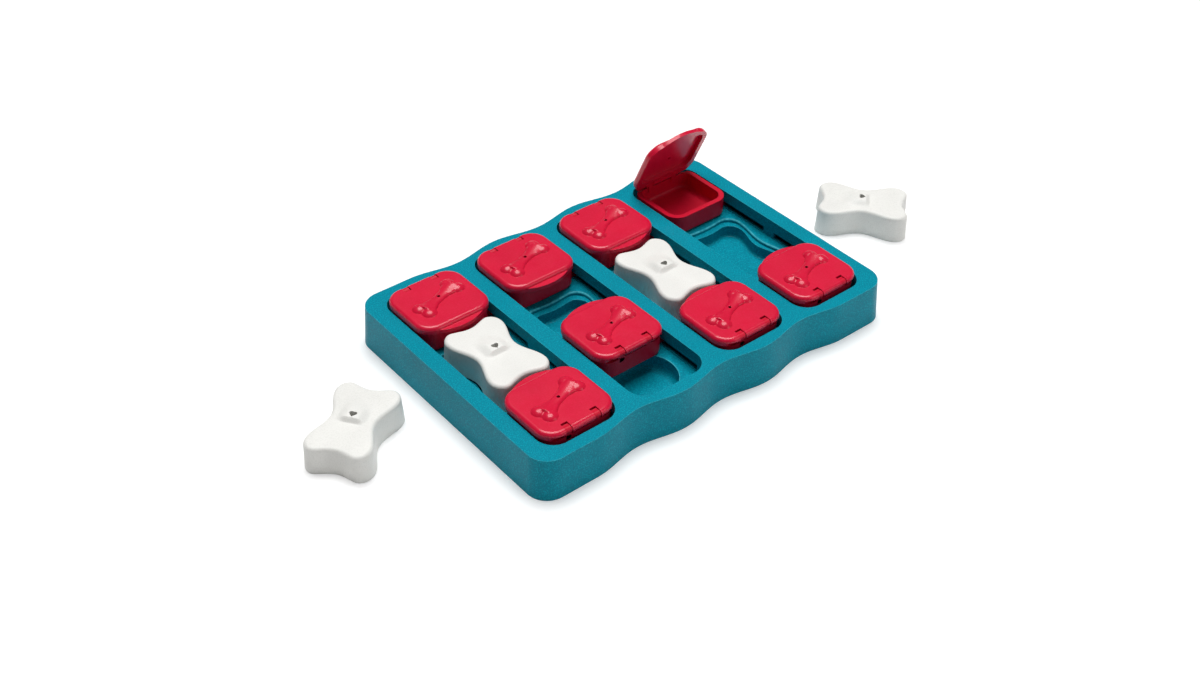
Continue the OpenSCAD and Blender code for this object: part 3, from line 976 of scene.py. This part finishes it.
@dataclass
class BoxLid:
    """A hinged lid: a pillow-edged slab with a thumb lip, two hinge windows and a raised bone figure."""

    half_x: float = 29.9
    half_y: float = 27.45
    corner: float = 13.5
    bottom: float = 33.15
    top: float = 38.7
    edge: float = 3.2
    sheet: float = 2.4
    rim: float = 4.2
    hinge_y: float = 24.25
    hinge_z: float = 35.5
    barrel: float = 3.1
    pin: float = 1.3
    pin_half: float = 16.45
    window_y: float = 20.25
    window_w: float = 5.3
    arm_x: float = 11.8
    lip_reach: float = 4.85
    lip_root: float = 1.5
    lip_line: float = 3.5
    lip_w: float = 41.0
    lip_t: float = 2.9
    lip_dip: float = 0.5
    lip_round: float = 1.3
    crest: float = 2.4
    vent: float = 1.2
    soft: float = 0.35

    def lens(self, z0: float, z1: float, line: float) -> bmesh.types.BMesh:
        """Makes the thumb lip's block: a straight line at the lid and an arc outside.

        Args:
            z0: Height of its underside.
            z1: Height of its top.
            line: How far inside the lid's edge its straight side is.

        Returns:
            The block as a new bmesh.
        """
        sag = self.lip_reach + self.lip_root
        arc = (self.lip_w**2 / 4 + sag**2) / (2 * sag)
        tip = self.half_y + self.lip_reach
        disc = post(arc, 0, arc - tip, z0, z1, 220)
        inside = self.half_y - line
        for co, normal in (
            ((0, -inside, 0), (0, 1, 0)),
            ((self.lip_w / 2, 0, 0), (1, 0, 0)),
            ((-self.lip_w / 2, 0, 0), (-1, 0, 0)),
        ):
            parts = disc.verts[:] + disc.edges[:] + disc.faces[:]
            cut = bmesh.ops.bisect_plane(disc, geom=parts, plane_co=co, plane_no=normal, clear_outer=True)
            edges = [g for g in cut["geom_cut"] if isinstance(g, bmesh.types.BMEdge)]
            bmesh.ops.holes_fill(disc, edges=edges)
        bmesh.ops.recalc_face_normals(disc, faces=disc.faces)
        return disc

    def build(self) -> bmesh.types.BMesh:
        """Returns the lid's solid in its box's frame."""
        bm = slab(self.half_x, self.half_y, self.bottom, self.top, self.corner, 14)
        rounded(bm, rim_edges(bm, self.top), self.edge, 7)
        back = self.window_y - self.rim / 2
        front = self.half_y - self.rim
        recess = slab(
            self.half_x - self.rim, (back + front) / 2, self.bottom - 1, self.top - self.sheet, 8.3, 10
        )
        bmesh.ops.translate(recess, vec=(0, (back - front) / 2, 0), verts=recess.verts)
        bm = combined(bm, recess, Cut.AWAY)
        straight = self.half_x - self.corner
        under = brick((-40, 40), (self.hinge_y, 40), (self.bottom - 1, self.hinge_z))
        bm = combined(bm, under, Cut.AWAY)
        behind = brick((-straight, straight), (self.hinge_y, 40), (self.bottom - 1, self.top + 1))
        bm = combined(bm, behind, Cut.AWAY)
        bm = combined(bm, rod(self.barrel, straight, self.hinge_y, self.hinge_z, 48), Cut.JOIN)
        for sign in (-1, 1):
            xs = (sign * self.arm_x - self.window_w / 2, sign * self.arm_x + self.window_w / 2)
            window = brick(xs, (self.window_y, 40), (self.bottom - 1, self.top + 1))
            bm = combined(bm, window, Cut.AWAY)
        bm = combined(bm, rod(self.pin, self.pin_half, self.hinge_y, self.hinge_z, 24), Cut.JOIN)
        lip = self.lens(self.bottom, self.bottom + self.lip_t, self.lip_line)
        rounded(lip, rim_edges(lip, self.bottom + self.lip_t), self.lip_round, 5)
        bm = combined(bm, lip, Cut.JOIN)
        bm = combined(bm, post(self.vent, 0, 0, self.bottom - 1, self.top + 1), Cut.AWAY)
        softened(bm, self.soft)
        return bm

    def make(self, materials: dict[str, bpy.types.Material]) -> None:
        """Makes the pieces of every lid.

        Args:
            materials: The materials by slot.
        """
        bm = self.build()
        figure = LidFigure().build()
        for place in PLACES:
            node = f"box_lid_{place.tag}"
            matrix = place.lid_matrix(self.hinge_y, self.hinge_z)
            piece = finished(bm, f"lid_{place.tag}", matrix, materials["box_lid"])
            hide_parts(node)
            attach(piece, node)
            relief = finished(figure, f"lid_figure_{place.tag}", matrix, materials["box_lid"], smooth=180.0)
            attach(relief, node)
        bm.free()
        figure.free()


@dataclass
class LidFigure:
    """The raised bone on a lid: four balls and a waisted shaft melted into one form."""

    top: float = 38.7
    turn: float = 21.0
    length: float = 34.0
    width: float = 8.4
    ball: float = 7.2
    ball_sink: float = 4.4
    waist: float = 4.2
    neck: float = 7.0
    shaft_flat: float = 0.55
    tail: float = 10.0
    tail_r: float = 3.3
    voxel: float = 0.4
    root: float = 0.8
    vent: float = 1.2

    def build(self) -> bmesh.types.BMesh:
        """Returns the figure's solid in its box's frame."""
        bm = self.shaft()
        for x in (-1, 1):
            for y in (-1, 1):
                spot = Matrix.Translation((x * self.length / 2, y * self.width / 2, -self.ball_sink))
                bmesh.ops.create_uvsphere(bm, u_segments=32, v_segments=20, radius=self.ball, matrix=spot)
                self.tail_of(bm, Vector((x * self.length / 2, y * self.width / 2, 0)))
        made = as_object(bm, "figure")
        melt = made.modifiers.new("melt", "REMESH")
        melt.mode = "VOXEL"
        melt.voxel_size = self.voxel
        even = made.modifiers.new("even", "SMOOTH")
        even.iterations = 10
        even.factor = 0.5
        bm = evaluated(made)
        parts = bm.verts[:] + bm.edges[:] + bm.faces[:]
        cut = bmesh.ops.bisect_plane(
            bm, geom=parts, plane_co=(0, 0, -self.root), plane_no=(0, 0, -1), clear_outer=True
        )
        bmesh.ops.holes_fill(bm, edges=[g for g in cut["geom_cut"] if isinstance(g, bmesh.types.BMEdge)])
        bm = combined(bm, post(self.vent, 0, 0, -self.root - 1, 8), Cut.AWAY)
        turn = Matrix.Translation((0, 0, self.top)) @ Matrix.Rotation(math.radians(self.turn), 4, "Z")
        bmesh.ops.transform(bm, matrix=turn, verts=bm.verts)
        return bm

    def tail_of(self, bm: bmesh.types.BMesh, lobe: Vector) -> None:
        """Adds the drop-shaped tail that runs from a lobe towards the middle.

        Args:
            bm: The figure under way.
            lobe: Middle of the lobe.
        """
        heading = math.atan2(lobe.y, lobe.x)
        middle = lobe * (1 - 0.5 * self.tail / lobe.length)
        spot = Matrix.Translation(middle) @ Matrix.Rotation(heading, 4, "Z")
        stretch = Matrix.Diagonal((self.tail, self.tail_r, self.tail_r * 0.62, 1))
        bmesh.ops.create_uvsphere(bm, u_segments=32, v_segments=20, radius=1.0, matrix=spot @ stretch)

    def shaft(self) -> bmesh.types.BMesh:
        """Returns the waisted shaft along X, spun and then flattened."""
        bm = bmesh.new()
        steps = 14
        half = self.length / 2
        profile = [bm.verts.new((-half, 0, 0))]
        for k in range(steps + 1):
            t = 2 * k / steps - 1
            swell = self.waist + (self.neck - self.waist) * t * t
            profile.append(bm.verts.new((half * t, 0, swell)))
        profile.append(bm.verts.new((half, 0, 0)))
        edges = [bm.edges.new(pair) for pair in zip(profile, profile[1:])]
        bmesh.ops.spin(
            bm,
            geom=profile + edges,
            cent=(0, 0, 0),
            axis=(1, 0, 0),
            angle=2 * math.pi,
            steps=28,
            use_merge=True,
        )
        bmesh.ops.remove_doubles(bm, verts=bm.verts, dist=NEAR)
        bmesh.ops.scale(bm, vec=(1, 1, self.shaft_flat), verts=bm.verts)
        bmesh.ops.translate(bm, vec=(0, 0, -0.35), verts=bm.verts)
        bmesh.ops.recalc_face_normals(bm, faces=bm.faces)
        return bm


# ---- bone blocks ----


@dataclass
class BoneBlock:
    """A hollow block with four lobes, a finger ridge and a heart-shaped hole."""

    height: float = 21.2
    wall: float = 2.2
    lean: float = 1.1
    shoulder: float = 2.6
    ridge_half: tuple[float, float] = (3.5, 11.5)
    ridge_h: float = 3.3
    ridge_front: tuple[float, float] = (-5.8, -1.6)
    ridge_back: tuple[float, float] = (2.4, 18.5)
    heart_w: float = 5.4
    heart_y: float = 0.4
    seat_z: float = 14.5

    PLAN = BonePlan(24.2, 36.4, 10.5, 7.4, 4.3)

    def build(self) -> bmesh.types.BMesh:
        """Returns the block's solid in its own frame, with its foot at z = 0."""
        bm = self.PLAN.block(0, self.height)
        for vert in bm.verts:
            lean = self.lean * vert.co.z / self.height
            vert.co.x *= 1 - lean / self.PLAN.half_x
            vert.co.y *= 1 - lean / self.PLAN.half_y
        bm.normal_update()
        rounded(bm, rim_edges(bm, self.height), self.shoulder, 6)
        foot = [f for f in bm.faces if f.normal.z < -0.99]
        bmesh.ops.inset_region(bm, faces=foot, thickness=self.wall, use_even_offset=True)
        bmesh.ops.inset_region(bm, faces=foot, thickness=0.3, depth=self.wall - self.height)
        self.raise_ridge(bm)
        bm = combined(bm, self.heart(), Cut.AWAY)
        return bm

    def raise_ridge(self, bm: bmesh.types.BMesh) -> None:
        """Raises the finger ridge out of the top: steep in front, fading out behind and to the sides."""
        front, back = self.ridge_front, self.ridge_back
        rows = [front[0] + 0.35 * k for k in range(11)] + [-1.0 + 0.9 * k for k in range(22)]
        half = self.ridge_half[1]
        columns = [half * (k / 13 - 1) for k in range(27)]
        cuts = [((0, y, 0), (0, 1, 0)) for y in rows] + [((x, 0, 0), (1, 0, 0)) for x in columns]
        for point, normal in cuts:
            top = [f for f in bm.faces if f.normal.z > 0.99 and f.calc_center_median().z > self.height - NEAR]
            edges = {e for f in top for e in f.edges}
            verts = {v for f in top for v in f.verts}
            bmesh.ops.bisect_plane(
                bm, geom=list(verts) + list(edges) + top, plane_co=point, plane_no=normal
            )
        for vert in bm.verts:
            if vert.co.z > self.height - NEAR:
                vert.co.z += self.ridge_h * self.hump(vert.co.x, vert.co.y)
        bm.normal_update()

    def hump(self, x: float, y: float) -> float:
        """Returns the share of the ridge's height at a point of the top."""
        across = 1 - self.eased(abs(x), *self.ridge_half)
        return across * self.eased(y, *self.ridge_front) * (1 - self.eased(y, *self.ridge_back))

    @staticmethod
    def eased(t: float, low: float, high: float) -> float:
        """Returns a smooth step from 0 at low to 1 at high."""
        share = min(max((t - low) / (high - low), 0.0), 1.0)
        return share * share * (3 - 2 * share)

    def heart(self) -> bmesh.types.BMesh:
        """Returns the cutter for the heart-shaped hole."""
        h = self.heart_w / (2 + math.sqrt(2))
        z0, z1 = self.height - 5, self.height + 8
        bm = brick((-h, h), (-h, h), (z0, z1))
        bm = combined(bm, post(h, h, 0, z0 - 0.5, z1 + 0.5), Cut.JOIN)
        bm = combined(bm, post(h, 0, h, z0 - 0.7, z1 + 0.7), Cut.JOIN)
        turn = Matrix.Translation((0, self.heart_y, 0)) @ Matrix.Rotation(math.pi / 4, 4, "Z")
        bmesh.ops.transform(bm, matrix=turn, verts=bm.verts)
        return bm

    def make(self, materials: dict[str, bpy.types.Material]) -> None:
        """Makes the piece of every block.

        Args:
            materials: The materials by slot.
        """
        bm = self.build()
        spots = {
            1: (channel_x(1), 0.0, self.seat_z, 0.0),
            2: (-219.0, 16.0, 0.0, -54.5),
            3: (channel_x(3), 0.0, self.seat_z, 0.0),
            4: (234.5, -15.0, 0.0, 42.0),
        }
        for channel, (x, y, z, turn) in spots.items():
            node = f"bone_{channel}"
            place = Matrix.Translation((x, y, z)) @ Matrix.Rotation(math.radians(turn), 4, "Z")
            piece = finished(bm, f"bone_block_{channel}", place, materials["bone"], smooth=40.0)
            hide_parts(node, f"bone_side_{channel}")
            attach(piece, node)
        bm.free()


# ---- studio ----


@dataclass
class Studio:
    """The camera, the pale floor and the soft lights."""

    eye: tuple[float, float, float] = (-0.5550, -0.6407, 0.6747)
    azimuth: float = -39.72
    elevation: float = 38.99
    roll: float = 0.774
    focal_px: float = 1482.06
    image_w: int = 1200
    sensor: float = 36.0
    floor_glow: float = 0.12
    sky_from: tuple[float, float, float] = (0.2, 0.3, 1.6)
    sky_spread: float = 42.0
    sky_strength: float = 3.1

    def camera(self) -> None:
        """Makes the camera."""
        azimuth, elevation, roll = (math.radians(v) for v in (self.azimuth, self.elevation, self.roll))
        flat = Vector((-math.sin(azimuth), math.cos(azimuth), 0))
        forward = flat * math.cos(elevation) + Vector((0, 0, -math.sin(elevation)))
        level = forward.cross(Vector((0, 0, 1))).normalized()
        rise = level.cross(forward)
        right = math.cos(roll) * level + math.sin(roll) * rise
        up = -math.sin(roll) * level + math.cos(roll) * rise
        data = bpy.data.cameras.new("camera")
        data.sensor_fit = "HORIZONTAL"
        data.sensor_width = self.sensor
        data.lens = self.focal_px * self.sensor / self.image_w
        data.clip_start = 0.01
        data.clip_end = 50
        made = bpy.data.objects.new("camera", data)
        turn = Matrix((right, up, -forward)).transposed().to_4x4()
        made.matrix_world = Matrix.Translation(self.eye) @ turn
        bpy.context.scene.collection.objects.link(made)
        bpy.context.scene.camera = made

    def lamp(self, name: str, at: tuple, aim: tuple, size: float, power: float) -> None:
        """Makes a square soft lamp.

        Args:
            name: Its name.
            at: Its middle, in metres.
            aim: The point it faces.
            size: Length of its side.
            power: Its power in watts.
        """
        data = bpy.data.lights.new(name, "AREA")
        data.shape = "SQUARE"
        data.size = size
        data.energy = power
        made = bpy.data.objects.new(name, data)
        away = (Vector(at) - Vector(aim)).to_track_quat("Z", "Y").to_matrix().to_4x4()
        made.matrix_world = Matrix.Translation(at) @ away
        bpy.context.scene.collection.objects.link(made)

    def skylight(self) -> None:
        """Makes the wide soft light from above, which is as bright all over the floor."""
        data = bpy.data.lights.new("skylight", "SUN")
        data.energy = self.sky_strength
        data.angle = math.radians(self.sky_spread)
        made = bpy.data.objects.new("skylight", data)
        made.matrix_world = Vector(self.sky_from).to_track_quat("Z", "Y").to_matrix().to_4x4()
        bpy.context.scene.collection.objects.link(made)

    def floor(self) -> None:
        """Makes the floor."""
        bm = bmesh.new()
        bmesh.ops.create_grid(bm, x_segments=1, y_segments=1, size=6.0)
        made = as_object(bm, "floor")
        material = bpy.data.materials.new("pale_floor")
        material.use_nodes = True
        shader = material.node_tree.nodes["Principled BSDF"]
        shader.inputs["Base Color"].default_value = (0.95, 0.95, 0.95, 1)
        shader.inputs["Roughness"].default_value = 0.8
        shader.inputs["Specular IOR Level"].default_value = 0.1
        shader.inputs["Emission Color"].default_value = (1, 1, 1, 1)
        nodes, links = material.node_tree.nodes, material.node_tree.links
        path = nodes.new("ShaderNodeLightPath")
        glow = nodes.new("ShaderNodeMath")
        glow.operation = "MULTIPLY"
        glow.inputs[1].default_value = self.floor_glow
        links.new(path.outputs["Is Camera Ray"], glow.inputs[0])
        links.new(glow.outputs["Value"], shader.inputs["Emission Strength"])
        made.data.materials.append(material)

    def world(self) -> None:
        """Makes the even light all round, which is white where the camera sees it."""
        world = bpy.data.worlds.new("studio")
        bpy.context.scene.world = world
        world.use_nodes = True
        nodes, links = world.node_tree.nodes, world.node_tree.links
        ground = nodes["Background"]
        ground.inputs["Color"].default_value = (1, 1, 1, 1)
        path = nodes.new("ShaderNodeLightPath")
        strength = nodes.new("ShaderNodeMapRange")
        strength.inputs["To Min"].default_value = 0.1
        strength.inputs["To Max"].default_value = 1.0
        links.new(path.outputs["Is Camera Ray"], strength.inputs["Value"])
        links.new(strength.outputs["Result"], ground.inputs["Strength"])

    def make(self) -> None:
        """Sets up the whole studio."""
        self.camera()
        self.floor()
        self.world()
        self.skylight()
        self.lamp("front_right", (0.7, -1.3, 0.9), (0.0, 0.0, 0.0), 0.9, 3.5)
        bpy.context.scene.view_settings.view_transform = "Standard"


def main() -> None:
    """Builds the feeder and the studio around it."""
    logging.basicConfig(level=logging.INFO, format="%(name)s: %(message)s")
    effects = Effects()
    materials = {f.slot: f.dress(effects) for f in (TEAL, CRIMSON, DARK_CRIMSON, WHITE)}
    for part in (Tray(), BoxBody(), BoxLid(), BoneBlock()):
        part.make(materials)
        log.info("%s made", type(part).__name__)
    Studio().make()
    bpy.context.view_layer.update()


if __name__ == "__main__":
    main()
